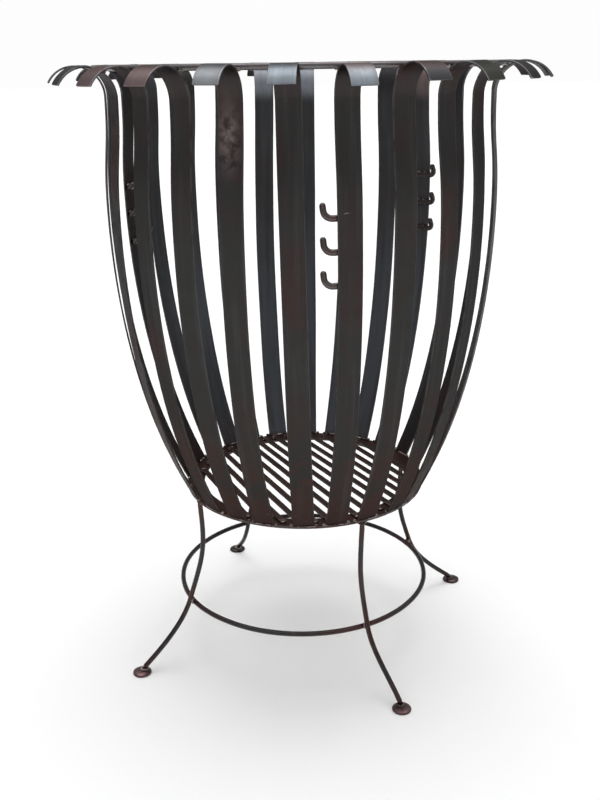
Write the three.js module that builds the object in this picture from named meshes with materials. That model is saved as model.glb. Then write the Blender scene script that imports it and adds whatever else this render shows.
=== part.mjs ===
// Fire pit basket: an open vase of flat steel strips welded round a base ring and a rim rod,
// with a slatted fire grate, nine grill hooks and four bowed rod legs. Millimetres, +Z up.
// The origin is on the floor, at the centre of the foot circle. -Y is the front.
import * as THREE from 'three';

// ---- driving dimensions -------------------------------------------------------------
const weld_gap = 0.3;             // clearance left between two pieces that are welded together

// flat steel strips that form the basket
const strip_count = 24;
const strip_width = 25;
const strip_thickness = 2;
const strip_phase = 12.7;         // azimuth of the first strip from the front, degrees
const lean_height = 460;          // height about which a leaning strip is turned
const base_flare = 0.53;          // outward slope of the strips where they leave the base ring
const base_pull = 103;            // how far that slope carries up the strip
const belly_radius = 222;         // outside of the basket at its widest
const belly_height = 561;
const belly_pull = 114;
const neck_radius = 214;          // outside of the basket where the petals start to curl
const curl_radius = 32;           // outside radius of each petal's curl
const rim_height = 711;           // top of the petals
const curl_sweep = 152;           // degrees of curl, from upright to the drooping tip

// base ring, lying flat
const base_ring_radius = 148.2;
const base_ring_width = 21;
const base_ring_thickness = 3;
const base_height = 211;          // underside of the base ring
const base_ring_edge = 0.2;       // rim of the base ring showing outside the strips that stand on it

// rim rod and stretcher ring
const rim_rod = 6;                // rod diameter
const stretcher_rod = 6;
const stretcher_radius = 157.8;
const stretcher_height = 78.8;
const stretcher_shift = new THREE.Vector2(-3.6, 2);  // right and back, off the basket's centre

// fire grate
const slat_count = 16;
const slat_width = 7.5;
const slat_thickness = 2;
const slat_margin = 32.7;         // from the base ring's rim to the middle of the outermost slats
const slat_shift = 3.5;           // how far the row of slats is off the ring's centre
const slat_azimuth = 27.7;        // direction in which the slats run, from the front, degrees
const slat_inset = 8.5;           // from a slat's corners to the rim of the base ring

// legs and feet
const leg_rod = 6;
const leg_phase = 27.7;           // azimuth of the front right leg, degrees
const leg_inset = 2.2;            // from the base ring's rim to the middle of a leg's top
const leg_bow = 0.07;             // inward lean of a leg below the ring
const leg_slope = 0.37;           // outward slope of a leg where it crosses the stretcher
const foot_circle_radius = 231.5;
const foot_slope = 1.24;          // outward slope of a leg where it meets its foot
const foot_pull = 0.42;           // share of the height below the stretcher that each slope carries
const foot_diameter = 23;
const foot_thickness = 4.2;
const foot_edge = 2.7;            // height of a foot's side
const foot_crown = 11;            // diameter of the flat on top of a foot

// hooks
const hook_rod = 6.5;
const hook_heights = [            // lowest first, one row for each strip that carries hooks
  [505, 538.5, 571.5],
  [502.5, 536, 571.5],
  [504, 538.5, 571],
];
const hook_strips = [0, 8, 16];   // strips that carry hooks, counted anticlockwise from above
const hook_inset = 2;             // from the strip's far edge to the end of the hook's arm
const hook_bend = 8.2;            // radius of the hook's bend at the middle of the rod
const hook_reach = 3.5;           // straight length between the strip's edge and the bend
const hook_upright = 7.5;         // straight length above the bend
const hook_tilt = 26;             // degrees the turned-up end leans in towards the fire

// Hand-made errors. A strip stands off its even place round the basket, and leans sideways, by a
// share of the clear gap between two strips at the base ring. The lean is turned about lean_height.
const spacing_errors = [
  -0.07, -0.07, -0.02, -0.32, -0.09, -0.13, 0.09, 0, 0.3, 0.17, 0.04, 0.13,
  0.17, 0.15, -0.02, 0.02, -0.21, 0.04, -0.07, -0.26, 0.11, 0.09, -0.11, 0.04,
];
const lean_errors = [
  -0.25, -0.13, -0.5, 0.06, 0.28, 0.25, 0.06, -0.09, 0.06, 0, -0.19, 0,
  -0.22, -0.28, -0.03, 0.38, 0.41, 0, -0.03, 0.28, 0, -0.03, 0.13, -0.25,
];
// How far each slat is turned, in degrees.
const slat_skews = [
  -3.5, -3, -2.6, -2.2, -1.8, -1.2, -0.8, -0.2, 0.6, 1, 1.4, 1.6, 1.4, 1, 0.6, 0.4,
];
// For each leg, how far it is turned, in degrees, and how far its foot is out of place, outward
// and sideways.
const leg_turns = [-1.1, -0.8, 1.8, 1.4];
const foot_errors = [[-10, 11], [2.5, -1], [-1, -9], [2.7, 1.4]];

// ---- fineness of the facets ---------------------------------------------------------
const ring_segments = 72;
const rod_sides = 8;
const foot_sides = 24;
const lower_steps = 9;            // along a strip, below and above the belly and round the curl
const upper_steps = 4;
const curl_steps = 9;
const leg_steps = 18;
const hook_steps = 12;

// ---- helpers ------------------------------------------------------------------------
const radians = THREE.MathUtils.degToRad;
const object = new THREE.Group();

function steel(color, roughness) {
  return new THREE.MeshStandardMaterial({ color, roughness, metalness: 0.85 });
}

// Adds one named mesh in a plane turned to an azimuth. Local X is then outward and Z is up.
// A lean turns the mesh sideways about that X axis at the lean height.
function place(name, geometry, material, azimuth = 0, lean = 0) {
  const turned = new THREE.Group();
  turned.rotation.z = radians(azimuth - 90);
  const leaning = new THREE.Group();
  leaning.position.z = lean_height;
  leaning.rotation.x = -radians(lean);
  const mesh = new THREE.Mesh(geometry, material);
  mesh.name = name;
  mesh.position.z = -lean_height;
  leaning.add(mesh);
  turned.add(leaning);
  object.add(turned);
}

// A round rod along a curve.
function rod(curve, diameter, steps) {
  const section = new THREE.Shape();
  for (let i = 0; i < rod_sides; i++) {
    const angle = (2 * Math.PI * i) / rod_sides;
    const x = (diameter / 2) * Math.cos(angle);
    const y = (diameter / 2) * Math.sin(angle);
    if (i === 0) section.moveTo(x, y);
    else section.lineTo(x, y);
  }
  section.closePath();
  return new THREE.ExtrudeGeometry(section, { steps, bevelEnabled: false, extrudePath: curve });
}

// A round rod bent into a level ring.
function rod_ring(radius, height, diameter) {
  const geometry = new THREE.TorusGeometry(radius, diameter / 2, rod_sides, ring_segments);
  geometry.translate(0, 0, height);
  return geometry;
}

const point = (outward, height) => new THREE.Vector2(outward, height);

// The outline of a round piece, closed along the axis, turned about +Z.
function turned_piece(outline, segments) {
  const geometry = new THREE.LatheGeometry(outline, segments);
  geometry.rotateX(Math.PI / 2);
  return geometry;
}

// ---- strips -------------------------------------------------------------------------
const curl_centre = point(neck_radius + curl_radius, rim_height - curl_radius);
const strip_foot = point(base_ring_radius - base_ring_edge, base_height + base_ring_thickness + weld_gap);
const strip_gap = (2 * Math.PI * base_ring_radius) / strip_count - strip_width;

// The middle line of a strip from the base ring over the belly to the petal's tip,
// in the plane through the axis.
function strip_line() {
  const half = strip_thickness / 2;
  const start = point(strip_foot.x - half, strip_foot.y);
  const belly = point(belly_radius - half, belly_height);
  const neck = point(neck_radius + half, curl_centre.y);
  const lower = new THREE.CubicBezierCurve(
    start,
    point(start.x + base_flare * base_pull, start.y + base_pull),
    point(belly.x, belly.y - belly_pull),
    belly,
  );
  const neck_pull = (neck.y - belly.y) / 2;
  const upper = new THREE.CubicBezierCurve(
    belly,
    point(belly.x, belly.y + neck_pull),
    point(neck.x, neck.y - neck_pull),
    neck,
  );
  const curl = [];
  for (let i = 1; i <= curl_steps; i++) {
    const angle = Math.PI - radians((curl_sweep * i) / curl_steps);
    const reach = curl_radius - half;
    curl.push(point(curl_centre.x + reach * Math.cos(angle), curl_centre.y + reach * Math.sin(angle)));
  }
  return [...lower.getPoints(lower_steps), ...upper.getPoints(upper_steps).slice(1), ...curl];
}

// Unit normals of a line, to its left, one at each point.
function normals(line) {
  return line.map((here, i) => {
    const before = line[Math.max(i - 1, 0)];
    const after = line[Math.min(i + 1, line.length - 1)];
    const along = after.clone().sub(before).normalize();
    return point(-along.y, along.x);
  });
}

const strip_middle = strip_line();
const strip_normals = normals(strip_middle);

function strip_geometry() {
  const half = strip_thickness / 2;
  const inner = strip_middle.map((p, i) => p.clone().addScaledVector(strip_normals[i], half));
  const outer = strip_middle.map((p, i) => p.clone().addScaledVector(strip_normals[i], -half));
  outer[0].copy(strip_foot);
  inner[0].set(strip_foot.x - strip_thickness, strip_foot.y);
  const outline = new THREE.Shape([...outer, ...inner.reverse()]);
  const geometry = new THREE.ExtrudeGeometry(outline, { depth: strip_width, bevelEnabled: false });
  geometry.translate(0, 0, -strip_width / 2);
  geometry.rotateX(Math.PI / 2);
  return geometry;
}

function strip_azimuth(i) {
  const error = THREE.MathUtils.radToDeg((spacing_errors[i] * strip_gap) / base_ring_radius);
  return strip_phase + (360 / strip_count) * i + error;
}

function strip_lean(i) {
  return THREE.MathUtils.radToDeg(Math.atan((lean_errors[i] * strip_gap) / (lean_height - base_height)));
}

function add_strips() {
  const material = steel(0x2f2c2b, 0.42);
  const geometry = strip_geometry();
  for (let i = 0; i < strip_count; i++) {
    const name = `strip_${String(i + 1).padStart(2, '0')}`;
    place(name, geometry, material, strip_azimuth(i), strip_lean(i));
  }
}

// ---- rings --------------------------------------------------------------------------
function add_rings() {
  // The rim rod lies against the inner shoulder of the petals, level with their tops.
  const reach = curl_radius + weld_gap + rim_rod / 2;
  const rise = curl_radius - rim_rod / 2;
  const rim_radius = curl_centre.x - Math.sqrt(reach ** 2 - rise ** 2);
  const rim_level = curl_centre.y + rise;
  place('rim_ring', rod_ring(rim_radius, rim_level, rim_rod), steel(0x3a3534, 0.35));

  const inner = base_ring_radius - base_ring_width;
  const top = base_height + base_ring_thickness;
  const profile = [
    point(inner, base_height),
    point(base_ring_radius, base_height),
    point(base_ring_radius, top),
    point(inner, top),
    point(inner, base_height),
  ];
  place('base_ring', turned_piece(profile, ring_segments), steel(0x33292a, 0.5));

  // At an azimuth of 90 degrees, local X is the object's own +X.
  const stretcher = rod_ring(stretcher_radius, stretcher_height, stretcher_rod);
  stretcher.translate(stretcher_shift.x, stretcher_shift.y, 0);
  place('stretcher_ring', stretcher, steel(0x2b2626, 0.45), 90);
}

// ---- fire grate ---------------------------------------------------------------------
function add_slats() {
  const material = steel(0x35302f, 0.55);
  const end_radius = base_ring_radius - slat_inset;
  const middle = base_height + base_ring_thickness + weld_gap + slat_thickness / 2;
  const slat_pitch = (2 * (base_ring_radius - slat_margin)) / (slat_count - 1);
  for (let i = 0; i < slat_count; i++) {
    const offset = slat_shift + slat_pitch * (i - (slat_count - 1) / 2);
    const corner = Math.abs(offset) + slat_width / 2;
    const length = 2 * Math.sqrt(end_radius ** 2 - corner ** 2);
    const slat = new THREE.BoxGeometry(length, slat_width, slat_thickness);
    slat.rotateZ(radians(slat_skews[i]));
    slat.translate(0, offset, middle);
    const name = `grate_slat_${String(i + 1).padStart(2, '0')}`;
    place(name, slat, material, slat_azimuth);
  }
}

// ---- legs and feet ------------------------------------------------------------------
// Distance from the axis to the middle of the stretcher's rod at an azimuth.
function stretcher_reach(azimuth) {
  const outward = new THREE.Vector2(Math.sin(radians(azimuth)), -Math.cos(radians(azimuth)));
  const aside = stretcher_shift.cross(outward);
  return stretcher_shift.dot(outward) + Math.sqrt(stretcher_radius ** 2 - aside ** 2);
}

// Where the middle of a leg's rod goes. It is welded to the outside of the stretcher, and leans
// aside below it when its foot is out of place sideways.
function leg_curve(azimuth, foot_reach, foot_aside) {
  const at = (p, aside = 0) => new THREE.Vector3(p.x, aside, p.y);
  const top = point(base_ring_radius - leg_inset, base_height - weld_gap);
  const slope = point(leg_slope, -1).normalize();
  const outward = point(-slope.y, slope.x);
  const crossing = point(stretcher_reach(azimuth), stretcher_height).addScaledVector(
    outward, stretcher_rod / 2 + leg_rod / 2 + weld_gap);
  const end_slope = point(foot_slope, -1).normalize();
  const end_rise = weld_gap + (leg_rod / 2) * end_slope.x;
  const foot = point(foot_reach - leg_rod / 2, foot_thickness + end_rise);
  const half_drop = (top.y - crossing.y) / 2;
  const pull = (crossing.y - foot.y) * foot_pull;
  const path = new THREE.CurvePath();
  path.add(new THREE.CubicBezierCurve3(
    at(top),
    at(point(top.x - leg_bow * half_drop, top.y - half_drop)),
    at(crossing.clone().addScaledVector(slope, -half_drop)),
    at(crossing),
  ));
  path.add(new THREE.CubicBezierCurve3(
    at(crossing),
    at(crossing.clone().addScaledVector(slope, pull)),
    at(foot.clone().addScaledVector(end_slope, -pull), foot_aside),
    at(foot, foot_aside),
  ));
  return path;
}

function add_legs() {
  const leg_material = steel(0x2e2526, 0.45);
  const foot_material = steel(0x3b2e2d, 0.5);
  const foot_profile = [
    point(0, 0),
    point(foot_diameter / 2, 0),
    point(foot_diameter / 2, foot_edge),
    point(foot_crown / 2, foot_thickness),
    point(0, foot_thickness),
  ];
  const corners = ['front_right', 'back_right', 'back_left', 'front_left'];
  corners.forEach((corner, i) => {
    const azimuth = leg_phase + (360 / corners.length) * i + leg_turns[i];
    const [error_out, error_aside] = foot_errors[i];
    const foot_reach = foot_circle_radius + error_out;
    const leg = rod(leg_curve(azimuth, foot_reach, error_aside), leg_rod, leg_steps);
    place(`leg_${corner}`, leg, leg_material, azimuth);
    const foot = turned_piece(foot_profile, foot_sides);
    foot.translate(foot_reach, error_aside, 0);
    place(`foot_${corner}`, foot, foot_material, azimuth);
  });
}

// ---- hooks --------------------------------------------------------------------------
// Height and slope of the strips' inner face: the point of the middle line at a height.
function strip_at(height) {
  const i = strip_middle.findIndex((p) => p.y > height);
  const [below, above] = [strip_middle[i - 1], strip_middle[i]];
  const share = (height - below.y) / (above.y - below.y);
  const along = above.clone().sub(below).normalize();
  return { middle: below.clone().lerp(above, share), inward: point(-along.y, along.x) };
}

function hook_curve(height) {
  const { middle, inward } = strip_at(height);
  const rod_middle = middle.addScaledVector(inward, strip_thickness / 2 + weld_gap + hook_rod / 2);
  const tilt = radians(hook_tilt);
  const at = (sideways, up) => new THREE.Vector3(
    rod_middle.x - up * Math.sin(tilt),
    sideways,
    rod_middle.y + up * Math.cos(tilt),
  );
  const edge = -strip_width / 2 - hook_reach;
  const quarter = 0.5523 * hook_bend;  // how far a cubic's controls reach to draw a quarter circle
  const path = new THREE.CurvePath();
  path.add(new THREE.LineCurve3(at(strip_width / 2 - hook_inset, 0), at(edge, 0)));
  path.add(new THREE.CubicBezierCurve3(
    at(edge, 0),
    at(edge - quarter, 0),
    at(edge - hook_bend, hook_bend - quarter),
    at(edge - hook_bend, hook_bend),
  ));
  path.add(new THREE.LineCurve3(
    at(edge - hook_bend, hook_bend),
    at(edge - hook_bend, hook_bend + hook_upright),
  ));
  return path;
}

function add_hooks() {
  const material = steel(0x2a2626, 0.4);
  hook_strips.forEach((strip, column) => {
    hook_heights[column].forEach((height, row) => {
      const hook = rod(hook_curve(height), hook_rod, hook_steps);
      const name = `hook_${'abc'[column]}${row + 1}`;
      place(name, hook, material, strip_azimuth(strip), strip_lean(strip));
    });
  });
}

add_strips();
add_rings();
add_slats();
add_legs();
add_hooks();

export default object;
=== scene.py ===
"""A fire basket of flat steel strips, with its grate, hooks, rings and bowed legs.

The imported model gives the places. The pieces made here stand for its nodes: strips, rods and
slats with rounded edges, domed feet, and the weld beads that hold them together. Metres, +Z up.
"""
import math
import random

import bpy
import numpy as np
from mathutils import Matrix, Vector, kdtree, noise


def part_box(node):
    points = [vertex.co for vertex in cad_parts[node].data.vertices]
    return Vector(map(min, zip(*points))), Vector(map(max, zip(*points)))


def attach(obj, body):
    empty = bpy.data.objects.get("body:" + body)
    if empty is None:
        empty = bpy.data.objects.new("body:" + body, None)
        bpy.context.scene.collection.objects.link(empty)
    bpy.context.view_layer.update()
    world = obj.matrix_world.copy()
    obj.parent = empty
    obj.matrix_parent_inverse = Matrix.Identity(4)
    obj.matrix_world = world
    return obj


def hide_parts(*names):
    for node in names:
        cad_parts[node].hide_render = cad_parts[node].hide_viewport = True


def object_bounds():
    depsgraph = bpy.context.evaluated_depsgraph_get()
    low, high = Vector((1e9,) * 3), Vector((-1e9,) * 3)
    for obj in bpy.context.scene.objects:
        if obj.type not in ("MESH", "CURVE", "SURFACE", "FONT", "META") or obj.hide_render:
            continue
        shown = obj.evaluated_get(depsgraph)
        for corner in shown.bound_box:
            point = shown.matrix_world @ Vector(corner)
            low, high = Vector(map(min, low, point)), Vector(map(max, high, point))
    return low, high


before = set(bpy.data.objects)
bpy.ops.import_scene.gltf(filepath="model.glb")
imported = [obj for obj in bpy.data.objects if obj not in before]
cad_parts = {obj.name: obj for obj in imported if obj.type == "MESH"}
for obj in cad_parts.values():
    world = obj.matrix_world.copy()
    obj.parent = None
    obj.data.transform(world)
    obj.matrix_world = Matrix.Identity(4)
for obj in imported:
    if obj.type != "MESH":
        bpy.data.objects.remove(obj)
cad_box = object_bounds()
scene = bpy.context.scene
mm = 0.001

# ---- sizes --------------------------------------------------------------------------
strip_count = 24
slat_count = 16
strip_width = 25 * mm
strip_thickness = 2 * mm
edge_fillet = 0.45 * mm           # rounding of the edges of every flat bar
lean_height = 460 * mm            # height about which a leaning strip is turned
base_flare = 0.53                 # outward slope of a strip where it leaves the base ring
base_pull = 103 * mm
belly_radius = 222 * mm
belly_height = 561 * mm
belly_pull = 114 * mm
neck_radius = 214 * mm
curl_radius = 32 * mm
curl_sweep = 152                  # degrees
weld_gap = 0.3 * mm
base_ring_edge = 0.2 * mm         # rim of the base ring outside the strips that stand on it
base_ring_width = 21 * mm
leg_rod = 6 * mm
leg_inset = 2.2 * mm
leg_bow = 0.07
leg_slope = 0.37
foot_slope = 1.24
foot_pull = 0.42                  # share of the height below the stretcher that each slope carries
hook_rod = 6.5 * mm
hook_inset = 2 * mm
hook_bend = 8.2 * mm
hook_reach = 3.5 * mm
hook_upright = 7.5 * mm
hook_tilt = math.radians(26)      # how far the turned-up end leans in towards the fire
hook_strips = {"a": 0, "b": 8, "c": 16}
corners = ["front_right", "back_right", "back_left", "front_left"]

rim_height = cad_box[1].z
curl_centre = Vector((neck_radius + curl_radius, rim_height - curl_radius))


def ring_sizes(node):
    """Outer radius, lowest and highest level of a level ring."""
    low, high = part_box(node)
    return (high.x - low.x) / 2, low.z, high.z


base_radius, base_bottom, base_top = ring_sizes("base_ring")
rim_outer, rim_bottom, rim_top = ring_sizes("rim_ring")
stretcher_outer, stretcher_bottom, stretcher_top = ring_sizes("stretcher_ring")
rim_rod = rim_top - rim_bottom
stretcher_rod = stretcher_top - stretcher_bottom
foot_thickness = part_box("foot_front_right")[1].z


def corners_of(node):
    """A node's vertices as an array."""
    return np.array([v.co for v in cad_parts[node].data.vertices], float)


def principal_axes(node):
    """Middle of a node and its axes, the longest first."""
    points = np.unique(corners_of(node).round(6), axis=0)
    middle = points.mean(axis=0)
    axes = np.linalg.svd(points - middle, full_matrices=False)[2]
    return middle, axes


# ---- lines of the strips and legs ---------------------------------------------------
belly_steps, neck_steps, curl_steps = 70, 24, 52
leg_steps, leg_end_steps = 44, 32
hook_steps, hook_bend_steps, hook_end_steps = 21, 16, 6


def bezier(controls, steps):
    """Points along a cubic curve, both ends included."""
    a, b, c, d = controls
    points = []
    for i in range(steps + 1):
        t = i / steps
        u = 1 - t
        points.append(a * u**3 + b * 3 * u * u * t + c * 3 * u * t * t + d * t**3)
    return points


def strip_line():
    """The middle line of a strip, outward and up, from the base ring to the petal's tip."""
    half = strip_thickness / 2
    start = Vector((base_radius - base_ring_edge - half, base_top + weld_gap))
    belly = Vector((belly_radius - half, belly_height))
    neck = Vector((neck_radius + half, curl_centre.y))
    flare = Vector((base_flare * base_pull, base_pull))
    lower = bezier([start, start + flare, belly - Vector((0, belly_pull)), belly], belly_steps)
    pull = Vector((0, (neck.y - belly.y) / 2))
    upper = bezier([belly, belly + pull, neck - pull, neck], neck_steps)
    reach = curl_radius - half
    curl = []
    for i in range(1, curl_steps + 1):
        angle = math.pi - math.radians(curl_sweep * i / curl_steps)
        curl.append(curl_centre + reach * Vector((math.cos(angle), math.sin(angle))))
    return lower + upper[1:] + curl


def distances_along(line):
    """Distance of each point of a line from its start."""
    total = [0.0]
    for before, after in zip(line, line[1:]):
        total.append(total[-1] + (after - before).length)
    return total


def outward_normals(line):
    """Unit normals of a line in the outward-up plane, on the basket's outer side."""
    found = []
    for i in range(len(line)):
        along = (line[min(i + 1, len(line) - 1)] - line[max(i - 1, 0)]).normalized()
        found.append(Vector((along.y, -along.x)))
    return found


strip_middle = strip_line()
strip_distance = distances_along(strip_middle)
strip_normal = outward_normals(strip_middle)
strip_length = strip_distance[-1]


def plane_at(azimuth, lean=0.0):
    """Matrix from a plane's outward, across and up to the object, for angles in radians."""
    up = Matrix.Translation((0, 0, lean_height))
    turn = Matrix.Rotation(azimuth - math.pi / 2, 4, "Z")
    return turn @ up @ Matrix.Rotation(-lean, 4, "X") @ up.inverted()


def strip_plane(number):
    """The matrix of a strip's plane, found from its node."""
    middle, axes = principal_axes(f"strip_{number + 1:02d}")
    across = Vector(axes[-1])
    radial = Vector((middle[0], middle[1], 0))
    if radial.cross(across).z < 0:
        across.negate()
    azimuth = math.atan2(across.y, across.x)
    return plane_at(azimuth, math.asin(-across.z))


strip_planes = [strip_plane(i) for i in range(strip_count)]


def middle_of(node):
    """Middle of a node's box."""
    low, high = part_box(node)
    return (low + high) / 2


def at_height(height):
    """Point and outer normal of the strips' middle line at a height below the curl."""
    i = next(i for i, p in enumerate(strip_middle) if p.y > height)
    below, above = strip_middle[i - 1], strip_middle[i]
    share = (height - below.y) / (above.y - below.y)
    return below.lerp(above, share), strip_normal[i]


# ---- meshes -------------------------------------------------------------------------
def mesh_from(name, vertices, faces):
    """A smooth-shaded mesh."""
    mesh = bpy.data.meshes.new(name)
    mesh.from_pydata(vertices, [], faces)
    mesh.validate()
    mesh.shade_smooth()
    return mesh


def set_attribute(mesh, name, values):
    """Gives each point of a mesh one number."""
    data = mesh.attributes.new(name, "FLOAT", "POINT").data
    data.foreach_set("value", np.asarray(values, np.float32))


def grain_of(mesh):
    """Each point's place on its bar: across, along, and the bar's seed and side."""
    place = np.zeros(len(mesh.vertices) * 3, np.float32)
    mesh.attributes["grain"].data.foreach_get("vector", place)
    return place.reshape(-1, 3)


def tube_faces(rows, columns, closed=False):
    """Quads between rows of vertices, with an end face at each end unless the tube closes."""
    faces = []
    for i in range(rows if closed else rows - 1):
        here, there = i * columns, (i + 1) % rows * columns
        for j in range(columns):
            k = (j + 1) % columns
            faces.append((here + j, here + k, there + k, there + j))
    if not closed:
        faces.append(tuple(reversed(range(columns))))
        faces.append(tuple(range((rows - 1) * columns, rows * columns)))
    return faces


def flat_section(width, thickness):
    """Outline of a flat bar with rounded edges, as across and out."""
    w, t = width / 2 - edge_fillet, thickness / 2 - edge_fillet
    outline = []
    for side, (across, out) in enumerate([(1, -1), (1, 1), (-1, 1), (-1, -1)]):
        for k in range(4):
            angle = math.radians(-90 + 90 * side + 30 * k)
            rounded = edge_fillet * math.cos(angle), edge_fillet * math.sin(angle)
            outline.append((across * w + rounded[0], out * t + rounded[1]))
        if side in (1, 3):
            for share in (0.02, 0.12, 0.3, 0.5, 0.7, 0.88, 0.98):
                outline.append((across * w * (1 - 2 * share), out * thickness / 2))
    return outline


def swept(name, stations, outline, closed=False, seed=0.0):
    """A bar along stations of origin, across, out, and scales of the section both ways.

    Each point keeps its place on the bar, across and along, for the grain of the steel.
    """
    vertices, grain = [], []
    along = 0.0
    for i, (origin, across, out, wide, thick) in enumerate(stations):
        if i:
            along += (origin - stations[i - 1][0]).length
        vertices += [origin + across * (a * wide) + out * (b * thick) for a, b in outline]
        for a, b in outline:
            grain += [a, along, seed + 0.5 * (b > 0)]
    mesh = mesh_from(name, vertices, tube_faces(len(stations), len(outline), closed))
    mesh.attributes.new("grain", "FLOAT_VECTOR", "POINT").data.foreach_set("vector", grain)
    return mesh


rod_sides = 20
rod_wobble = 0.03                 # dents of a bent rod, as a share of its radius
rod_tip = 0.25                    # a rod's rounded end shrinks to this share of its radius
rod_end_rows = [0.04, 0.15, 0.35, 0.65, 1.0]    # distances from the end, as shares of the radius
hoop_steps = 288
hoop_wobble = 0.02
hoop_wander = 0.35 * mm           # how far a hoop strays from a true circle


def rod_along(name, points, diameter, seed):
    """A round rod with rounded ends along points that lie in one plane or nearly."""
    count = len(points)
    distance = distances_along(points)
    length = distance[-1]
    radius = diameter / 2
    tangents = [
        (points[min(i + 1, count - 1)] - points[max(i - 1, 0)]).normalized() for i in range(count)
    ]
    side = tangents[0].orthogonal().normalized()
    vertices = []
    for i, (here, along) in enumerate(zip(points, tangents)):
        side = (side - along * side.dot(along)).normalized()
        other = along.cross(side)
        from_end = min(distance[i], length - distance[i]) / radius
        ease = math.sqrt(1 - (1 - min(from_end, 1)) ** 2)
        for j in range(rod_sides):
            angle = 2 * math.pi * j / rod_sides
            spoke = side * math.cos(angle) + other * math.sin(angle)
            dent = noise.noise((here + spoke * radius) * 90 + Vector((seed, 0, 0)))
            size = radius * (rod_tip + (1 - rod_tip) * ease) * (1 + rod_wobble * dent)
            vertices.append(here + spoke * size)
    return mesh_from(name, vertices, tube_faces(count, rod_sides))


def with_ends(points, diameter):
    """Adds close points at both ends of a line, for a rod's rounded ends."""
    radius = diameter / 2
    first = (points[1] - points[0]).normalized()
    last = (points[-1] - points[-2]).normalized()
    start = [points[0] + first * radius * share for share in rod_end_rows]
    end = [points[-1] - last * radius * share for share in reversed(rod_end_rows)]
    clear = 1.1 * radius
    inside = [
        p for p in points[1:-1]
        if (p - points[0]).length > clear and (p - points[-1]).length > clear
    ]
    return [points[0], *start, *inside, *end, points[-1]]


def rod_hoop(name, radius, level, diameter, seed):
    """A level hoop of round rod, bent by hand."""
    vertices = []
    for i in range(hoop_steps):
        angle = 2 * math.pi * i / hoop_steps
        outward = Vector((math.cos(angle), math.sin(angle), 0))
        sway = noise.noise(outward * 2.2 + Vector((seed, 0, 0)))
        lift = noise.noise(outward * 1.7 + Vector((0, seed, 0)))
        middle = outward * (radius + hoop_wander * sway)
        middle.z = level + hoop_wander * lift
        for j in range(rod_sides):
            turn = 2 * math.pi * j / rod_sides
            spoke = outward * math.cos(turn) + Vector((0, 0, math.sin(turn)))
            dent = noise.noise((middle + spoke * diameter) * 80)
            vertices.append(middle + spoke * (diameter / 2) * (1 + hoop_wobble * dent))
    return mesh_from(name, vertices, tube_faces(hoop_steps, rod_sides, closed=True))


# ---- weld beads ---------------------------------------------------------------------
weld_points = []                  # where the steel was heated
bead_rows, bead_sides = 15, 12
ripple_length = 1.5 * mm


class Beads:
    """Weld beads and spatter gathered into one mesh."""

    def __init__(self, name, seed):
        self.name = name
        self.random = random.Random(seed)
        self.vertices = []
        self.faces = []

    def bead(self, middle, along, up, length, width, height, heats=True):
        """One rippled bead, lying along a line on a surface whose normal is up."""
        along = along.normalized()
        up = (up - along * up.dot(along)).normalized()
        side = along.cross(up)
        ripples = max(length / ripple_length, 1)
        phase = self.random.uniform(0, 6.28)
        start = len(self.vertices)
        for i in range(bead_rows):
            t = i / (bead_rows - 1)
            swell = max(1 - abs(2 * t - 1) ** 2.6, 0.015) ** 0.5
            swell *= 1 + 0.1 * math.sin(2 * math.pi * ripples * t + phase)
            sway = side * self.random.uniform(-0.07, 0.07) * width
            centre = middle + along * (t - 0.5) * length + sway
            for j in range(bead_sides):
                angle = 2 * math.pi * j / bead_sides
                lump = 1 + self.random.uniform(-0.05, 0.05)
                across = side * math.cos(angle) * (width / 2)
                rise = up * math.sin(angle) * (height / 2)
                self.vertices.append(centre + (across + rise) * swell * lump)
        self.faces += [tuple(start + v for v in f) for f in tube_faces(bead_rows, bead_sides)]
        if heats:
            weld_points.append(middle.copy())

    def drop(self, middle, size):
        """A small round drop of spatter."""
        tilt = Vector([self.random.uniform(-1, 1) for _ in range(3)])
        up = Vector([self.random.uniform(-1, 1) for _ in range(3)])
        self.bead(middle, tilt, up, size * 1.1, size, size * 0.9, heats=False)

    def piece(self, material, slot_name):
        """Adds the gathered beads to the scene."""
        mesh = mesh_from(self.name, self.vertices, self.faces)
        return add_piece(self.name, mesh, material, slot_name)


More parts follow.
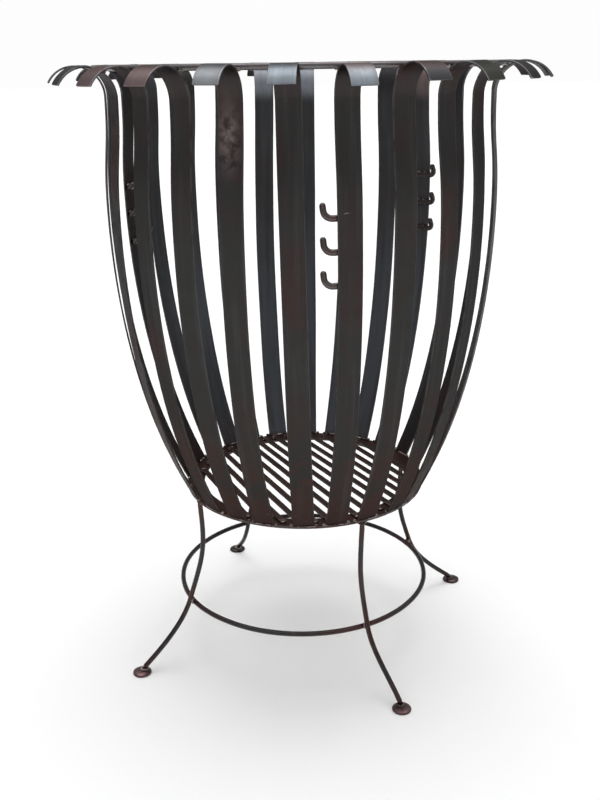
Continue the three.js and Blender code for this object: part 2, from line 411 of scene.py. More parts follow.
# ---- materials ----------------------------------------------------------------------
class Shader:
    """A principled material and short ways to add nodes to it."""

    def __init__(self, name):
        self.material = bpy.data.materials.new(name)
        self.material.use_nodes = True
        self.tree = self.material.node_tree
        self.surface = self.tree.nodes["Principled BSDF"]
        self.place = self.node("ShaderNodeTexCoord").outputs["Object"]

    def node(self, kind, **settings):
        made = self.tree.nodes.new(kind)
        for key, value in settings.items():
            setattr(made, key, value)
        return made

    def link(self, source, target):
        """Joins a socket to another, or sets it to a plain value."""
        if hasattr(source, "links"):
            self.tree.links.new(source, target)
        else:
            target.default_value = source

    def attribute(self, name, output="Fac"):
        return self.node("ShaderNodeAttribute", attribute_name=name).outputs[output]

    def place_along(self, axis):
        """Object coordinate along X, Y or Z."""
        made = self.node("ShaderNodeSeparateXYZ")
        self.link(self.place, made.inputs[0])
        return made.outputs[axis]

    def stretched(self, scale, vector):
        """Coordinates multiplied along X, Y and Z."""
        made = self.node("ShaderNodeMapping")
        made.inputs["Scale"].default_value = scale
        self.link(vector, made.inputs["Vector"])
        return made.outputs["Vector"]

    def noise(self, scale, detail, roughness=0.55, vector=None, distortion=0.0):
        made = self.node("ShaderNodeTexNoise")
        self.link(vector or self.place, made.inputs["Vector"])
        made.inputs["Scale"].default_value = scale
        made.inputs["Detail"].default_value = detail
        made.inputs["Roughness"].default_value = roughness
        made.inputs["Distortion"].default_value = distortion
        return made.outputs["Fac"]

    def math(self, operation, a, b, clamp=False):
        made = self.node("ShaderNodeMath", operation=operation, use_clamp=clamp)
        self.link(a, made.inputs[0])
        self.link(b, made.inputs[1])
        return made.outputs[0]

    def span(self, value, low, high, to_low=0.0, to_high=1.0):
        """A value taken smoothly from one range to another."""
        made = self.node("ShaderNodeMapRange", interpolation_type="SMOOTHSTEP")
        for socket, number in zip(made.inputs[:5], (value, low, high, to_low, to_high)):
            self.link(number, socket)
        return made.outputs[0]

    def mix(self, share, a, b):
        """Colour between two others, by share."""
        made = self.node("ShaderNodeMix", data_type="RGBA")
        self.link(share, made.inputs["Factor"])
        self.link(a, made.inputs[6])
        self.link(b, made.inputs[7])
        return made.outputs[2]

    def bump(self, height, distance, strength, normal=None):
        made = self.node("ShaderNodeBump")
        made.inputs["Strength"].default_value = strength
        made.inputs["Distance"].default_value = distance
        self.link(height, made.inputs["Height"])
        if normal:
            self.link(normal, made.inputs["Normal"])
        return made.outputs["Normal"]

    def set(self, **sockets):
        for name, value in sockets.items():
            self.link(value, self.surface.inputs[name.replace("_", " ")])
        return self.material


def colour(red, green, blue):
    return (red, green, blue, 1.0)


# Heights between which the steel turns brown down towards the fire, and between which
# the back strips' inner faces get a painted blue sheen, stronger lower down.
brown_from, brown_full = 440 * mm, 235 * mm
blue_sheen_from, blue_sheen_full = 560 * mm, 360 * mm
# Distances behind the middle between which the rods darken, and between which the painted
# blue sheen comes in on the strips' inner faces.
dark_back_from, dark_back_full = 20 * mm, 140 * mm
blue_sheen_back_from, blue_sheen_back_full = 60 * mm, 150 * mm

dark = colour(0.0350, 0.0344, 0.0336)
grey = colour(0.075, 0.076, 0.078)
bare = colour(0.27, 0.27, 0.28)
maroon = colour(0.052, 0.0270, 0.0275)
umber = colour(0.054, 0.0330, 0.0285)
back_dark = colour(0.018, 0.018, 0.018)
steel_blue_sheen = colour(0.115, 0.125, 0.140)
rust = colour(0.085, 0.034, 0.021)
straw = colour(0.125, 0.075, 0.045)
violet = colour(0.040, 0.028, 0.044)
worn_dark = colour(0.105, 0.102, 0.102)
rubbed_through = colour(0.20, 0.17, 0.165)
burnt = colour(0.060, 0.042, 0.038)
fresh = colour(0.27, 0.235, 0.215)


def lacquered(name, body, patch, patch_share, rusty, roughness, metallic,
              flat=False, petals=False, warmed=0.45, grazing=0.38, back_darkening=0.0):
    """Dark lacquer over mill scale: cloudy tints, brown where rust shows, heat marks at welds.

    The patch colour lies in clouds and near the welds, by patch_share and warmed. Rust shows by
    rusty. Flat bars have a grain along them. On petals, the upturned tips get their strip's tint
    with a painted reflection, and the back strips' inner faces a painted blue sheen. Grazing is
    the tint of the reflections at the edges, and the last argument darkens what stands towards
    the back.
    """
    s = Shader(name)
    cloud = s.noise(9, 5, 0.6, distortion=0.4)
    speckle = s.noise(420, 3, 0.6)
    mottle = s.noise(60, 4, 0.65)
    scale_flake = s.noise(150, 4, 0.7, distortion=0.6)
    heat = s.attribute("heat")
    height = s.place_along("Z")
    if flat:
        grain = s.attribute("grain", "Vector")
        streak = s.noise(1, 4, 0.65, vector=s.stretched((900, 16, 40), grain))
        bands = s.noise(1, 3, 0.5, vector=s.stretched((110, 6, 40), grain))
    else:
        streak = s.noise(170, 3, 0.6)
        bands = mottle

    tint = s.mix(s.span(cloud, 0.46, 0.46 + 0.5 * (1 - patch_share)), body, patch)
    low_down = s.span(height, brown_from, brown_full)
    if flat:
        browned = s.math("MULTIPLY", low_down, s.span(cloud, 0.38, 0.56, 0.1, 0.9))
        tint = s.mix(browned, tint, umber)
    warmth = s.span(s.attribute("warmth"), 0.12, 0.6, 0, warmed)
    warmth = s.math("MULTIPLY", warmth, s.span(s.noise(26, 3), 0.3, 0.6, 0.35, 1.0))
    tint = s.mix(warmth, tint, patch)
    # Darker towards the back, by distance behind the middle.
    if back_darkening:
        tint = s.mix(s.span(s.place_along("Y"), dark_back_from, dark_back_full, 0, back_darkening), tint, back_dark)
    rust_spots = s.math("MULTIPLY", s.span(mottle, 0.52, 0.74), s.span(cloud, 0.62, 0.38))
    rust_depth = s.math("MULTIPLY", s.span(low_down, 0, 1, 0.15, 1), rusty)
    tint = s.mix(s.math("MULTIPLY", rust_spots, rust_depth, clamp=True), tint, rust)
    tint = s.mix(s.span(speckle, 0.60, 0.80, 0, 0.35), tint, grey)
    tint = s.mix(s.span(bands, 0.48, 0.75, 0, 0.28), tint, grey)
    rough = s.span(mottle, 0.25, 0.75, roughness - 0.05, roughness + 0.09)
    rough = s.math("ADD", rough, s.span(streak, 0.3, 0.7, -0.03, 0.04))
    wear_colour = worn_dark
    wear = 0.5
    if petals:
        # Painted blue sheen: the inner faces of the back strips are bluer lower down.
        blue_sheen = s.span(height, blue_sheen_from, blue_sheen_full, 0.25, 0.9)
        blue_sheen = s.math("MULTIPLY", s.attribute("inner"), blue_sheen)
        behind = s.span(s.place_along("Y"), blue_sheen_back_from, blue_sheen_back_full, 0.1, 1.0)
        blue_sheen = s.math("MULTIPLY", blue_sheen, behind)
        blue_sheen = s.math("MULTIPLY", blue_sheen, s.span(bands, 0.3, 0.6, 0.55, 1.0))
        tint = s.mix(blue_sheen, tint, steel_blue_sheen)
        # The upturned inner faces of the rolled tips get their strip's tint and a painted
        # reflection of the light overhead; the shaded undersides keep the body colour.
        petal_sheen_zone = s.math("ADD", s.attribute("petal"), s.math("MULTIPLY", streak, 0.5))
        petal_sheen_zone = s.span(petal_sheen_zone, 0.52, 1.0)
        petal_colour_with_sheen = s.mix(s.span(bands, 0.4, 0.75, 0, 0.2), s.attribute("tone_and_sheen", "Color"), maroon)
        petal_colour_with_sheen = s.mix(s.span(streak, 0.5, 0.76, 0, 0.34), petal_colour_with_sheen, dark)
        tint = s.mix(petal_sheen_zone, tint, petal_colour_with_sheen)
        # One strip has a patch rubbed through on its outer shoulder.
        worn_patch = s.math("MULTIPLY", s.attribute("rub"), s.span(mottle, 0.30, 0.56))
        tint = s.mix(worn_patch, tint, rubbed_through)
        wear_colour = s.mix(petal_sheen_zone, wear_colour, bare)
        wear = s.span(petal_sheen_zone, 0, 1, wear, 0.7)
    worn = s.math("MULTIPLY", s.attribute("edge"), s.span(s.noise(45, 3), 0.34, 0.55), clamp=True)
    tint = s.mix(s.math("MULTIPLY", worn, wear), tint, wear_colour)
    scorched = s.mix(s.span(mottle, 0.4, 0.6), rust, violet)
    tint = s.mix(s.span(heat, 0.12, 0.75, 0, 0.55), tint, scorched)
    tint = s.mix(s.span(heat, 0.6, 1.0, 0, 0.45), tint, straw)

    relief = s.bump(scale_flake, 0.10 * mm, 0.4)
    relief = s.bump(streak, 0.03 * mm, 0.4, relief)
    relief = s.bump(s.noise(28, 2), 0.5 * mm, 0.35, relief)
    return s.set(
        Base_Color=tint, Roughness=rough, Metallic=metallic, Normal=relief,
        Specular_IOR_Level=0.35, Specular_Tint=colour(grazing, grazing, grazing),
    )


def weld_metal(name):
    """Bare weld beads: bright and dark patches with straw and violet heat colours."""
    s = Shader(name)
    cells = s.noise(260, 3, 0.6)
    patches = s.noise(70, 3, 0.6)
    tint = s.mix(s.span(patches, 0.4, 0.62), burnt, fresh)
    tint = s.mix(s.span(cells, 0.55, 0.75, 0, 0.7), tint, rust)
    rough = s.span(cells, 0.3, 0.7, 0.2, 0.46)
    relief = s.bump(cells, 0.15 * mm, 0.6)
    return s.set(Base_Color=tint, Roughness=rough, Metallic=0.85, Normal=relief)


strip_steel = lacquered(
    "strip_steel", body=dark, patch=maroon, patch_share=0.38, rusty=0.7,
    roughness=0.37, metallic=0.85, flat=True, petals=True, warmed=0.28)
rod_steel = lacquered(
    "rod_steel", body=colour(0.047, 0.046, 0.045), patch=colour(0.066, 0.034, 0.032),
    patch_share=0.4, rusty=0.4, roughness=0.19, metallic=0.85, warmed=0.95, grazing=0.7, back_darkening=0.75)
# The rim rod is a lighter copy of the rod steel: a painted highlight.
rim_steel_highlight = lacquered(
    "rim_steel_highlight", body=colour(0.150, 0.158, 0.158), patch=colour(0.110, 0.060, 0.066),
    patch_share=0.3, rusty=0.4, roughness=0.24, metallic=0.90, grazing=0.9)
base_steel = lacquered(
    "base_steel", body=colour(0.052, 0.036, 0.031), patch=colour(0.075, 0.036, 0.029),
    patch_share=0.7, rusty=1.2, roughness=0.36, metallic=0.80, flat=True)
grate_steel = lacquered(
    "grate_steel", body=colour(0.030, 0.026, 0.025), patch=colour(0.062, 0.040, 0.034),
    patch_share=0.5, rusty=1.3, roughness=0.42, metallic=0.70, flat=True)
hook_steel = lacquered(
    "hook_steel", body=colour(0.115, 0.104, 0.102), patch=colour(0.085, 0.050, 0.046),
    patch_share=0.4, rusty=0.3, roughness=0.25, metallic=0.85, warmed=0.6, grazing=0.9, back_darkening=0.6)
foot_steel = lacquered(
    "foot_steel", body=colour(0.125, 0.075, 0.079), patch=colour(0.085, 0.044, 0.044),
    patch_share=0.35, rusty=0.5, roughness=0.26, metallic=0.80, grazing=0.9, back_darkening=0.85)
weld_steel = weld_metal("weld_steel")

made_pieces = []


def add_piece(name, mesh, material, slot_name, *nodes):
    """Links one piece, gives it its material, and has it ride on the frame."""
    piece = bpy.data.objects.new(name, mesh)
    scene.collection.objects.link(piece)
    mesh.materials.append(material)
    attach(piece, "root")
    if nodes:
        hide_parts(*nodes)
    made_pieces.append(piece)
    return piece


# ---- strips -------------------------------------------------------------------------
# Tints of the petals, made lighter by a painted reflection of the light overhead, and how far
# each tip stands sideways, round the basket from the first strip.
blue_grey = (0.200, 0.226, 0.252)
pale_grey = (0.212, 0.222, 0.234)
mauve = (0.20, 0.150, 0.148)
red_brown = (0.15, 0.095, 0.092)
olive = (0.085, 0.085, 0.076)
slate = (0.075, 0.073, 0.078)
petal_tints_and_sheens = [
    blue_grey, slate, olive, slate, olive, slate, mauve, slate,
    blue_grey, slate, mauve, slate, blue_grey, slate, olive, mauve,
    slate, olive, slate, slate, mauve, mauve, pale_grey, blue_grey,
]
# Tints of the crests, some of their own; the blue-white one on strips 12 and 13 is a painted
# highlight.
blue_white_highlight = (0.28, 0.30, 0.34)
crest_tints_and_highlights = {
    0: mauve, 1: red_brown, 8: mauve, 11: blue_white_highlight, 12: blue_white_highlight, 15: slate, 20: red_brown,
}
# Painted shade: the crests of the other strips are darkened against their tips.
crest_painted_shade = 0.55                # how dark the others' crests are beside their tips
petal_sways = [
    0.5, -0.5, 0, 3, -1, 1, 0.5, -1.5, 1, 0, -0.5, 1.5,
    -1, 0.5, 0, -1.5, 1, -0.5, -2, -3, -7.5, -4.5, 0.3, -3,
]
# How far some tips hang below the rest, in millimetres as the sways are.
petal_drops = {0: 2.0, 1: -1.2, 19: 1.2, 20: 1.4, 21: 0.9}
petal_from, petal_full = strip_length - 114 * mm, strip_length - 66 * mm
# Distances from the tip, in millimetres, of the rows that shape its corners.
tip_rows = (4, 3.3, 2.7, 2.1, 1.6, 1.1, 0.7, 0.4)
rubbed_strip = 22
rubbed_place = strip_length - 116 * mm
rubbed_aside = -2 * mm
rubbed_half_width, rubbed_half_length = 9 * mm, 25 * mm
strip_sway = 0.5 * mm             # hand-made unevenness
strip_twist = math.radians(1.1)
# Distances along a strip: the top of its curl, and where the curl starts.
crest = next(s for s, p in zip(strip_distance, strip_middle) if p.x > curl_centre.x)
neck = crest - math.pi / 2 * curl_radius


def strip_stations(number):
    """Where a strip's section goes, with its rounded tip and its hand-made unevenness."""
    plane = strip_planes[number]
    turn = plane.to_3x3()
    luck = random.Random(100 + number)
    tip_round = luck.uniform(0.8, 2.2) * mm
    phase = luck.uniform(0, 50)
    stations = []
    for p, n, s in zip(strip_middle, strip_normal, strip_distance):
        past = max(0, (s - neck) / (strip_length - neck))
        sway = strip_sway * noise.noise(Vector((phase, s * 9, 0))) + petal_sways[number] * mm * past
        twist = strip_twist * noise.noise(Vector((0, phase, s * 7)))
        out = turn @ Vector((n.x, 0, n.y))
        across = turn @ Vector((0, 1, 0))
        turned_across = across * math.cos(twist) + out * math.sin(twist)
        turned_out = out * math.cos(twist) - across * math.sin(twist)
        drop = petal_drops.get(number, 0) * mm * past**2
        origin = plane @ Vector((p.x, sway, p.y - drop))
        stations.append((origin, turned_across, turned_out, s))
    return stations, tip_round


def tip_shape(distance, rounding):
    """Share of the half width left at a distance from a strip's tip."""
    if distance >= rounding:
        return 1.0
    lost = rounding - math.sqrt(max(rounding**2 - (rounding - distance) ** 2, 0))
    return 1 - lost / (strip_width / 2)


def strip_mesh(number):
    full, tip_round = strip_stations(number)
    outline = flat_section(strip_width, strip_thickness)
    rows = []

    def add_row(s, thick=1.0, wide=1.0):
        i = max(1, min(np.searchsorted(strip_distance, s), len(full) - 1))
        before, after = full[i - 1], full[i]
        t = (s - before[3]) / (after[3] - before[3])
        origin = before[0].lerp(after[0], t)
        across, out = before[1].lerp(after[1], t), before[2].lerp(after[2], t)
        share = tip_shape(strip_length - s, tip_round) * wide
        rows.append((origin, across, out, share, thick))

    # Both cut ends are a little rounded, so their last two rows are thinner.
    add_row(0, 0.55, 0.985)
    add_row(0.15 * mm, 0.85, 0.995)
    add_row(0.5 * mm)
    stop = strip_length - tip_rows[0] * mm
    for s in strip_distance:
        if 1 * mm < s < stop:
            add_row(s)
    for left in tip_rows:
        add_row(strip_length - left * mm)
    add_row(strip_length - 0.15 * mm, 0.85)
    add_row(strip_length, 0.55)
    mesh = swept(f"flat_strip_{number + 1:02d}", rows, outline, seed=number)
    add_edges(mesh, len(rows), outline, strip_width, strip_thickness)
    add_petal(mesh, outline)
    add_rub(mesh, number)
    add_petal_tone_and_sheen(mesh, number)
    return mesh


def add_petal_tone_and_sheen(mesh, number):
    """Colours the rolled end, from the crest's tint to the tip's: painted shade at the crest, a
    painted reflection towards the tip.
    """
    tip = Vector(petal_tints_and_sheens[number])
    top = Vector(crest_tints_and_highlights.get(number, tip * crest_painted_shade))
    tone_and_sheen = mesh.color_attributes.new("tone_and_sheen", "FLOAT_COLOR", "POINT")
    colours = []
    for place in mesh.attributes["grain"].data:
        share = min(1, max(0, (place.vector.y - crest) / (strip_length - crest) * 1.5 - 0.1))
        colours += [*top.lerp(tip, share), 1.0]
    tone_and_sheen.data.foreach_set("color", colours)


def add_petal(mesh, outline):
    """Marks the rolled tip on the strip's inner face, which turns up at the rim and takes the
    painted reflection.
    """
    along = grain_of(mesh)[:, 1]
    share = np.clip((along - petal_from) / (petal_full - petal_from), 0, 1)
    inwards = [min(1.0, max(0.0, 0.5 - b / (strip_thickness / 2))) for _, b in outline]
    inner = np.tile(inwards, len(share) // len(outline)).astype(np.float32)
    set_attribute(mesh, "inner", inner)
    set_attribute(mesh, "petal", share * inner)


def add_rub(mesh, number):
    """Marks a patch rubbed through on one strip's outer shoulder."""
    across, along, side = grain_of(mesh).T
    outer = (side > number + 0.25) * (number == rubbed_strip)
    away = ((across - rubbed_aside) / rubbed_half_width) ** 2
    away += ((along - rubbed_place) / rubbed_half_length) ** 2
    set_attribute(mesh, "rub", outer * np.exp(-away))


def add_edges(mesh, rows, outline, width, thickness):
    """Marks the rounded edges of a bar, where its lacquer wears through."""
    reach_across = width / 2 - edge_fillet
    reach_out = thickness / 2 - edge_fillet
    along_edge = [float(abs(a) > reach_across or abs(a) == reach_across and abs(b) > reach_out)
                  for a, b in outline]
    set_attribute(mesh, "edge", along_edge * rows)


def add_strips():
    for i in range(strip_count):
        number = f"{i + 1:02d}"
        mesh = strip_mesh(i)
        add_piece(f"flat_strip_{number}", mesh, strip_steel, "strip_steel", f"strip_{number}")


# ---- rings --------------------------------------------------------------------------
base_steps = 240


def add_rings():
    rim = rod_hoop("rim_hoop", rim_outer - rim_rod / 2, (rim_top + rim_bottom) / 2, rim_rod, 3)
    add_piece("rim_hoop", rim, rim_steel_highlight, "rod_steel", "rim_ring")
    middle = middle_of("stretcher_ring")
    radius = stretcher_outer - stretcher_rod / 2
    stretcher = rod_hoop("stretcher_hoop", radius, middle.z, stretcher_rod, 8)
    stretcher.transform(Matrix.Translation((middle.x, middle.y, 0)))
    add_piece("stretcher_hoop", stretcher, rod_steel, "rod_steel", "stretcher_ring")

    outline = flat_section(base_ring_width, base_top - base_bottom)
    stations = []
    for i in range(base_steps):
        angle = -2 * math.pi * i / base_steps
        outward = Vector((math.cos(angle), math.sin(angle), 0))
        middle = outward * (base_radius - base_ring_width / 2)
        middle.z = (base_top + base_bottom) / 2
        stations.append((middle, outward, Vector((0, 0, 1)), 1.0, 1.0))
    mesh = swept("base_flat_ring", stations, outline, closed=True)
    add_edges(mesh, base_steps, outline, base_ring_width, base_top - base_bottom)
    add_piece("base_flat_ring", mesh, base_steel, "base_steel", "base_ring")


# ---- fire grate ---------------------------------------------------------------------
slat_steps = 24
slat_bow = 0.5 * mm
slat_wobble = 0.05                # unevenness of a slat's width


def add_slats(beads):
    """The grate's bars, each with two beads at both ends."""
    for i in range(1, slat_count + 1):
        node = f"grate_slat_{i:02d}"
        middle, axes = principal_axes(node)
        middle = Vector(middle)
        along, across = Vector(axes[0]), Vector(axes[1])
        up = Vector((0, 0, 1))
        offsets = (corners_of(node) - np.array(middle)) @ axes.T
        half_length, half_width, half_thick = np.abs(offsets).max(axis=0)
        luck = random.Random(300 + i)
        outline = flat_section(2 * half_width, 2 * half_thick)
        bow = luck.uniform(-1, 1) * slat_bow
        rows = []
        for k in range(slat_steps + 1):
            t = 2 * k / slat_steps - 1
            wide = 1 + slat_wobble * noise.noise(Vector((i * 3.1, t * 6, 0)))
            origin = middle + along * (t * half_length) + across * (bow * (1 - t * t))
            at_end = k in (0, slat_steps)
            rows.append((origin, across, up, wide * (0.9 if at_end else 1), 0.7 if at_end else 1))
        if along.cross(across).z > 0:
            rows.reverse()
        mesh = swept(f"grate_bar_{i:02d}", rows, outline)
        add_edges(mesh, len(rows), outline, 2 * half_width, 2 * half_thick)
        add_piece(f"grate_bar_{i:02d}", mesh, grate_steel, "grate_steel", node)
        for end in (-1, 1):
            spot = middle + along * (end * (half_length - 0.3 * mm))
            size = luck.uniform(0.85, 1.2)
            beads.bead(spot, across, up, 7.5 * mm * size, 3.2 * mm * size, 2.6 * mm)
            side = luck.choice((-1, 1))
            spot = spot - along * (end * 4 * mm) + across * (side * half_width) - up * (0.8 * mm)
            beads.bead(spot, along, up, 5.5 * mm * size, 2.6 * mm, 2.4 * mm)


# ---- legs and feet ------------------------------------------------------------------
def leg_plane(corner):
    """The matrix of a leg's plane, through the top of its rod."""
    points = corners_of(f"leg_{corner}")
    top = points[points[:, 2] > points[:, 2].max() - leg_rod / 2].mean(axis=0)
    return plane_at(math.atan2(top[0], -top[1]))


def leg_points(plane, foot):
    """The middle line of a leg in its plane, its crossing with the stretcher, and the way out."""
    ring = plane.inverted() @ middle_of("stretcher_ring")
    ring_radius = stretcher_outer - stretcher_rod / 2
    stretcher = Vector((ring.x + math.sqrt(ring_radius**2 - ring.y**2), 0, ring.z))
    top = Vector((base_radius - leg_inset, 0, base_bottom - weld_gap))
    slope = Vector((leg_slope, 0, -1)).normalized()
    outward = Vector((-slope.z, 0, slope.x))
    crossing = stretcher + outward * (stretcher_rod / 2 + leg_rod / 2 + weld_gap)
    end_slope = Vector((foot_slope, 0, -1)).normalized()
    end_height = foot_thickness + weld_gap + leg_rod / 2 * end_slope.x
    end = Vector((foot.x - leg_rod / 2, foot.y, end_height))
    half_drop = (top.z - crossing.z) / 2
    pull = (crossing.z - end.z) * foot_pull
    bowed = top - Vector((leg_bow, 0, 1)) * half_drop
    upper = bezier([top, bowed, crossing - slope * half_drop, crossing], leg_steps)
    lower = bezier([crossing, crossing + slope * pull, end - end_slope * pull, end], leg_end_steps)
    return upper + lower[1:], crossing, outward


foot_sides = 48


def foot_mesh(name, centre, radius, seed):
    """A domed disc, thick at the middle, with a rounded rim, from shares of radius and height."""
    profile = [
        (0.0, 0.0), (0.5, 0.0), (0.9, 0.0), (0.965, 0.03), (0.995, 0.14), (1.0, 0.32),
        (0.995, 0.46), (0.97, 0.58), (0.92, 0.67), (0.82, 0.78), (0.66, 0.89), (0.45, 0.97),
        (0.2, 1.0), (0.0, 1.0),
    ]
    vertices = [centre.copy()]
    for share, rise in profile[1:-1]:
        for j in range(foot_sides):
            angle = 2 * math.pi * j / foot_sides
            spoke = Vector((math.cos(angle), math.sin(angle), 0))
            uneven = 1 + 0.025 * noise.noise(spoke * 1.5 + Vector((seed, 0, 0))) - 0.02
            lift = Vector((0, 0, foot_thickness * rise))
            vertices.append(centre + spoke * (radius * share * uneven) + lift)
    vertices.append(centre + Vector((0, 0, foot_thickness)))
    rings = len(profile) - 2
    faces = []
    for j in range(foot_sides):
        k = (j + 1) % foot_sides
        faces.append((0, 1 + k, 1 + j))
        for i in range(rings - 1):
            low, high = 1 + i * foot_sides, 1 + (i + 1) * foot_sides
            faces.append((low + j, low + k, high + k, high + j))
        last = 1 + (rings - 1) * foot_sides
        faces.append((last + j, last + k, len(vertices) - 1))
    return mesh_from(name, vertices, faces)


def in_plane(plane, p, across):
    """A point of a plane's outward-up line, moved across the plane."""
    return plane @ Vector((p.x, across, p.y))


def add_legs(beads):
    """The legs and their feet, with the beads that hold them."""
    for i, corner in enumerate(corners):
        plane = leg_plane(corner)
        turn = plane.to_3x3()
        foot_low, foot_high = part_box(f"foot_{corner}")
        foot_middle = middle_of(f"foot_{corner}")
        foot_middle.z = 0
        line, crossing, outward = leg_points(plane, plane.inverted() @ foot_middle)
        points = with_ends([plane @ p for p in line], leg_rod)
        leg = rod_along(f"leg_rod_{corner}", points, leg_rod, 20 + i)
        add_piece(f"leg_rod_{corner}", leg, rod_steel, "rod_steel", f"leg_{corner}")
        radius = (foot_high.x - foot_low.x) / 2
        foot = foot_mesh(f"foot_pad_{corner}", foot_middle, radius, 5 * i)
        add_piece(f"foot_pad_{corner}", foot, foot_steel, "foot_steel", f"foot_{corner}")

        across = turn @ Vector((0, 1, 0))
        out = turn @ Vector((1, 0, 0))
        up = Vector((0, 0, 1))
        contact = crossing - outward * (leg_rod / 2)
        # Beads on both sides, where the leg crosses the stretcher and where it meets the ring.
        for side in (-1, 1):
            spot = plane @ (contact + Vector((0, side * 2.3 * mm, 0)))
            beads.bead(spot, up + out * 0.2, across * side, 8.5 * mm, 3.8 * mm, 3.6 * mm)
            spot = plane @ (line[0] + Vector((-2 * mm, side * 3.4 * mm, -1 * mm)))
            beads.bead(spot, out, across * side - up, 9 * mm, 3.6 * mm, 3.6 * mm)
        # Beads round the leg where it stands on its foot.
        for angle in range(0, 360, 60):
            spoke = out * math.cos(math.radians(angle)) + across * math.sin(math.radians(angle))
            round_leg = up.cross(spoke)
            spot = plane @ line[-1] + spoke * 3.6 * mm
            spot.z = foot_thickness + 0.5 * mm
            beads.bead(spot, round_leg, up + spoke, 5 * mm, 3.4 * mm, 3.0 * mm, heats=angle == 0)


# ---- hooks --------------------------------------------------------------------------
def hook_height(node):
    """Level of the middle of a hook's straight part, its lowest."""
    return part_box(node)[0].z + hook_rod / 2


def hook_points(height):
    """The middle line of a hook in its strip's plane, as outward, across and up."""
    middle, normal = at_height(height)
    seat = middle - normal * (strip_thickness / 2 + weld_gap + hook_rod / 2)
    edge = -strip_width / 2 - hook_reach
    far = strip_width / 2 - hook_inset
    shares = np.linspace(0, 1, hook_steps + 1)
    points = [Vector((seat.x, far + (edge - far) * t, seat.y)) for t in shares]
    rise = Vector((-math.sin(hook_tilt), 0, math.cos(hook_tilt)))
    sideways = Vector((0, -1, 0))
    bend_start = points[-1]
    for k in range(1, hook_bend_steps + 1):
        turn = math.radians(90 * k / hook_bend_steps)
        bent = sideways * math.sin(turn) + rise * (1 - math.cos(turn))
        points.append(bend_start + hook_bend * bent)
    bend_end = points[-1]
    for k in range(1, hook_end_steps + 1):
        points.append(bend_end + rise * (hook_upright * k / hook_end_steps))
    return points, middle, normal


def add_hooks(beads):
    """The hooks, welded to the inner faces of three strips."""
    for column, strip in hook_strips.items():
        plane = strip_planes[strip]
        turn = plane.to_3x3()
        for row in (1, 2, 3):
            node = f"hook_{column}{row}"
            points, middle, normal = hook_points(hook_height(node))
            line = with_ends([plane @ p for p in points], hook_rod)
            mesh = rod_along(f"hook_rod_{column}{row}", line, hook_rod, 40 + row)
            add_piece(f"hook_rod_{column}{row}", mesh, hook_steel, "hook_steel", node)
            # Two beads above and two below, on the strip's inner face.
            inner = middle - normal * (strip_thickness / 2)
            for side in (-1, 1):
                for place in (-6 * mm, 5 * mm):
                    spot = plane @ Vector((inner.x - 0.6 * mm, place, inner.y + side * 2.3 * mm))
                    beads.bead(spot, turn @ Vector((0, 1, 0)), turn @ Vector((-1, 0, side)),
                               8.5 * mm, 3.4 * mm, 3.2 * mm)
            if row == 3:
                # The weld has burnt through to the strip's outer face.
                outer = middle + normal * (strip_thickness / 2)
                spot = plane @ Vector((outer.x - 0.1 * mm, -2 * mm, outer.y + 5 * mm))
                beads.bead(spot, turn @ Vector((0, 1, 0.12)), turn @ Vector((1, 0, 0)),
                           9 * mm, 1.3 * mm, 0.7 * mm)


# ---- welds of the basket ------------------------------------------------------------
def add_rim_beads(beads):
    """Beads between the rim rod and the strips: one at each edge, and a long one below."""
    rod_middle = Vector((rim_outer - rim_rod / 2, (rim_top + rim_bottom) / 2))
    toward = (rod_middle - curl_centre).normalized()
    contact = curl_centre + toward * curl_radius
    lower = math.atan2(toward.y, toward.x) + math.radians(5)
    below = curl_centre + Vector((math.cos(lower), math.sin(lower))) * (curl_radius + 0.8 * mm)
    for plane in strip_planes:
        turn = plane.to_3x3()
        out = turn @ Vector((toward.x, 0, toward.y))
        for side in (-1, 1):
            size = beads.random.uniform(0.75, 1.3)
            spot = in_plane(plane, contact, side * (strip_width / 2 + 0.4 * mm))
            spot += out * 0.9 * mm
            along = turn @ Vector((0, 1, 0)) + out * beads.random.uniform(-0.2, 0.2)
            beads.bead(spot, along, out, 5.2 * mm * size, 3.4 * mm * size, 3.2 * mm)
        spot = in_plane(plane, below, beads.random.uniform(-4, 4) * mm)
        beads.bead(spot, turn @ Vector((0, 1, 0)), out, 14 * mm, 2.8 * mm, 2.6 * mm)


def add_base_beads(beads):
    """Beads where the strips stand on the base ring: outside, inside and at both edges."""
    outside = Vector((base_radius - 0.1 * mm, base_top + 0.1 * mm))
    inner_face = base_radius - base_ring_edge - strip_thickness
    inside = Vector((inner_face - 0.5 * mm, base_top + 0.6 * mm))
    beside = Vector((base_radius - 1.4 * mm, base_top + 0.5 * mm))
    for plane in strip_planes:
        turn = plane.to_3x3()
        along = turn @ Vector((0, 1, 0))
        out = turn @ Vector((1, 0, 0))
        up = Vector((0, 0, 1))
        for side in (-1, 1):
            size = beads.random.uniform(0.7, 1.35)
            spot = in_plane(plane, beside, side * (strip_width / 2 + 0.6 * mm * size))
            lean = up * beads.random.uniform(0.1, 0.6) * side
            beads.bead(spot, along + lean, out + up, 6 * mm * size, 3.6 * mm, 3.0 * mm * size)
            spot = in_plane(plane, outside, side * beads.random.uniform(5, 7.5) * mm)
            beads.bead(spot, along, out + up, beads.random.uniform(8, 12) * mm, 2.2 * mm, 1.7 * mm)
        spot = in_plane(plane, inside, beads.random.uniform(-3, 3) * mm)
        beads.bead(spot, along, up - out, 17 * mm, 3.0 * mm, 2.8 * mm)


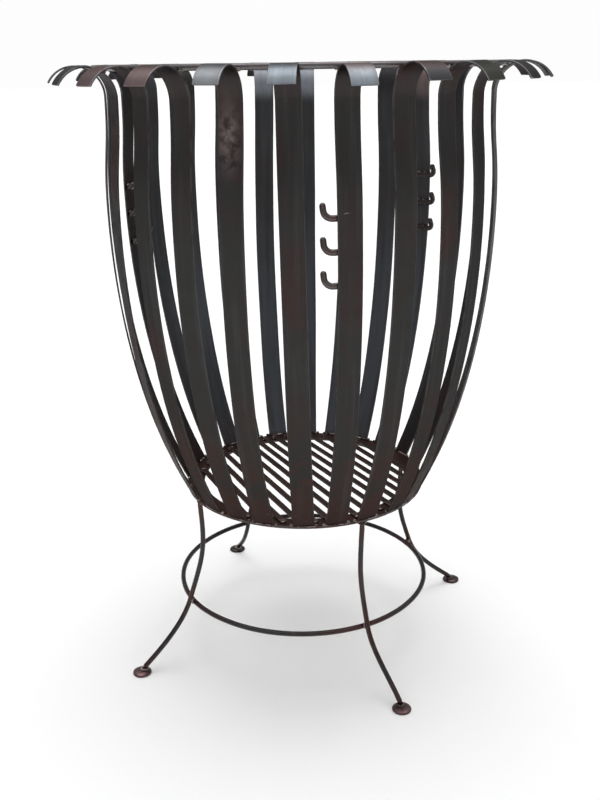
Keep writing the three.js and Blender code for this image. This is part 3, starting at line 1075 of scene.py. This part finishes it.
def add_spatter(beads):
    """Drops that stuck to the strips' faces just above the base ring, two on each face."""
    half = strip_thickness / 2
    for plane in strip_planes:
        for face in (-1, 1):
            for _ in range(2):
                i = beads.random.randrange(1, 6)
                p = strip_middle[i] + strip_normal[i] * (half * face)
                across = beads.random.uniform(-0.45, 0.45) * strip_width
                beads.drop(in_plane(plane, p, across), beads.random.uniform(0.7, 1.3) * mm)


# ---- the whole object ---------------------------------------------------------------
grate_welds = Beads("grate_welds", 11)
leg_welds = Beads("leg_welds", 12)
hook_welds = Beads("hook_welds", 13)
rim_welds = Beads("rim_welds", 14)
base_welds = Beads("base_welds", 15)

add_strips()
add_rings()
add_slats(grate_welds)
add_legs(leg_welds)
add_hooks(hook_welds)
add_rim_beads(rim_welds)
add_base_beads(base_welds)
add_spatter(base_welds)

grate_welds.piece(weld_steel, "grate_steel")
leg_welds.piece(weld_steel, "rod_steel")
hook_welds.piece(weld_steel, "hook_steel")
rim_welds.piece(weld_steel, "rod_steel")
base_welds.piece(weld_steel, "base_steel")


scorch_reach, warm_reach = 10 * mm, 26 * mm


def mark_heat():
    """Gives every piece the nearness of its points to a weld, from 0 to 1."""
    tree = kdtree.KDTree(len(weld_points))
    for i, p in enumerate(weld_points):
        tree.insert(p, i)
    tree.balance()
    for piece in made_pieces:
        mesh = piece.data
        away = np.array([tree.find(v.co)[2] for v in mesh.vertices])
        set_attribute(mesh, "heat", np.exp(-((away / scorch_reach) ** 2)))
        set_attribute(mesh, "warmth", np.exp(-away / warm_reach))


mark_heat()


# ---- floor, light and camera --------------------------------------------------------
floor_reach = 30.0
surroundings = 0.47               # light from all round
backdrop = 0.985                  # what the camera sees behind the object
camera_place = (0, -1.14604, 0.71231)
camera_lens, camera_sensor = 43.95, 36
camera_down, camera_pan, camera_roll = math.radians(19.14), math.radians(0.25), math.radians(-0.78)


def add_floor():
    corners_around = ((-1, -1), (1, -1), (1, 1), (-1, 1))
    outline = [(x * floor_reach, y * floor_reach, 0) for x, y in corners_around]
    floor = bpy.data.objects.new("floor", mesh_from("floor", outline, [(0, 1, 2, 3)]))
    scene.collection.objects.link(floor)
    s = Shader("floor_paper")
    tint = s.mix(s.noise(3, 2), colour(0.955, 0.955, 0.955), colour(0.965, 0.965, 0.965))
    floor.data.materials.append(s.set(Base_Color=tint, Roughness=0.95, Specular_IOR_Level=0.05))


def light_room():
    """A white backdrop, dim surroundings, and wide soft lights overhead and behind."""
    world = bpy.data.worlds.new("studio")
    scene.world = world
    world.use_nodes = True
    tree = world.node_tree
    background = tree.nodes["Background"]

    def node(kind, inputs=(), **settings):
        made = tree.nodes.new(kind)
        for key, value in settings.items():
            setattr(made, key, value)
        for socket, value in zip(made.inputs, inputs):
            if hasattr(value, "links"):
                tree.links.new(value, socket)
            elif value is not None:
                socket.default_value = value
        return made.outputs[0] if kind != "ShaderNodeVectorMath" else made.outputs["Value"]

    direction = tree.nodes.new("ShaderNodeTexCoord").outputs["Generated"]

    def part_along(axis):
        return node("ShaderNodeVectorMath", (direction, axis), operation="DOT_PRODUCT")

    def window(azimuth, elevation, half_width, half_height, soft, strength):
        """Strength of a soft rectangular light in the direction being looked in."""
        az, el = math.radians(azimuth), math.radians(elevation)
        ahead = (math.sin(az) * math.cos(el), -math.cos(az) * math.cos(el), math.sin(el))
        sideways = (math.cos(az), math.sin(az), 0.0)
        upward = (-math.sin(az) * math.sin(el), math.cos(az) * math.sin(el), math.cos(el))
        total = node("ShaderNodeMapRange", (part_along(ahead), 0.0, 0.2, 0.0, strength))
        for axis, half in ((sideways, half_width), (upward, half_height)):
            off = node("ShaderNodeMath", (part_along(axis),), operation="ABSOLUTE")
            share = node("ShaderNodeMapRange", (off, half, half + soft, 1.0, 0.0),
                         interpolation_type="SMOOTHSTEP")
            total = node("ShaderNodeMath", (total, share), operation="MULTIPLY")
        return total

    overhead = window(180, 85, 0.52, 0.60, 0.12, 0.78)
    behind = window(177, 76, 0.34, 0.20, 0.12, 2.7)
    lights = node("ShaderNodeMath", (overhead, behind), operation="ADD")
    room = node("ShaderNodeMath", (lights, surroundings), operation="ADD")
    seen = tree.nodes.new("ShaderNodeLightPath").outputs["Is Camera Ray"]
    strength = node("ShaderNodeMapRange", (seen, 0.0, 1.0, room, backdrop))
    tree.links.new(strength, background.inputs["Strength"])
    background.inputs["Color"].default_value = (1, 1, 1, 1)


def add_camera():
    data = bpy.data.cameras.new("camera")
    data.sensor_width = camera_sensor
    data.lens = camera_lens
    camera = bpy.data.objects.new("camera", data)
    scene.collection.objects.link(camera)
    camera.matrix_world = (
        Matrix.Translation(camera_place)
        @ Matrix.Rotation(camera_pan, 4, "Z")
        @ Matrix.Rotation(math.pi / 2 - camera_down, 4, "X")
        @ Matrix.Rotation(camera_roll, 4, "Z")
    )
    scene.camera = camera


add_floor()
light_room()
add_camera()
scene.view_settings.view_transform = "Standard"
